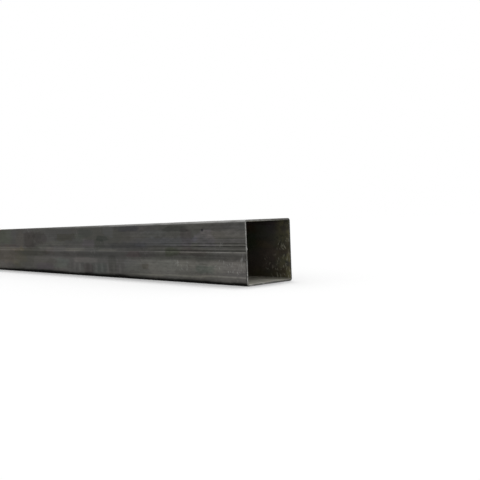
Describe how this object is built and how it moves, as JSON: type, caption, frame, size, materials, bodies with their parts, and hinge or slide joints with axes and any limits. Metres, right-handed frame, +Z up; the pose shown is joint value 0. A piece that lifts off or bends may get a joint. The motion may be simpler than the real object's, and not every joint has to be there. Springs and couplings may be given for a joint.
{
  "type": "square steel tube",
  "caption": "Straight length of square hollow section in dark mill-scaled steel, thin walled, with rounded corners, a shaved weld seam along one side and open sawn ends.",
  "frame": {"origin": "on the floor under the middle of the tube, which lies on one flat side", "axes": "+X along the tube, +Y away from the side with the weld seam, +Z up"},
  "size_m": [1, 0.05, 0.05],
  "materials": {
    "steel": "dark mill scale, lightly oiled, with brown and blue tints, bare bright steel on the sawn ends"
  },
  "bodies": {
    "root": {"square_tube": "steel"}
  },
  "joints": []
}
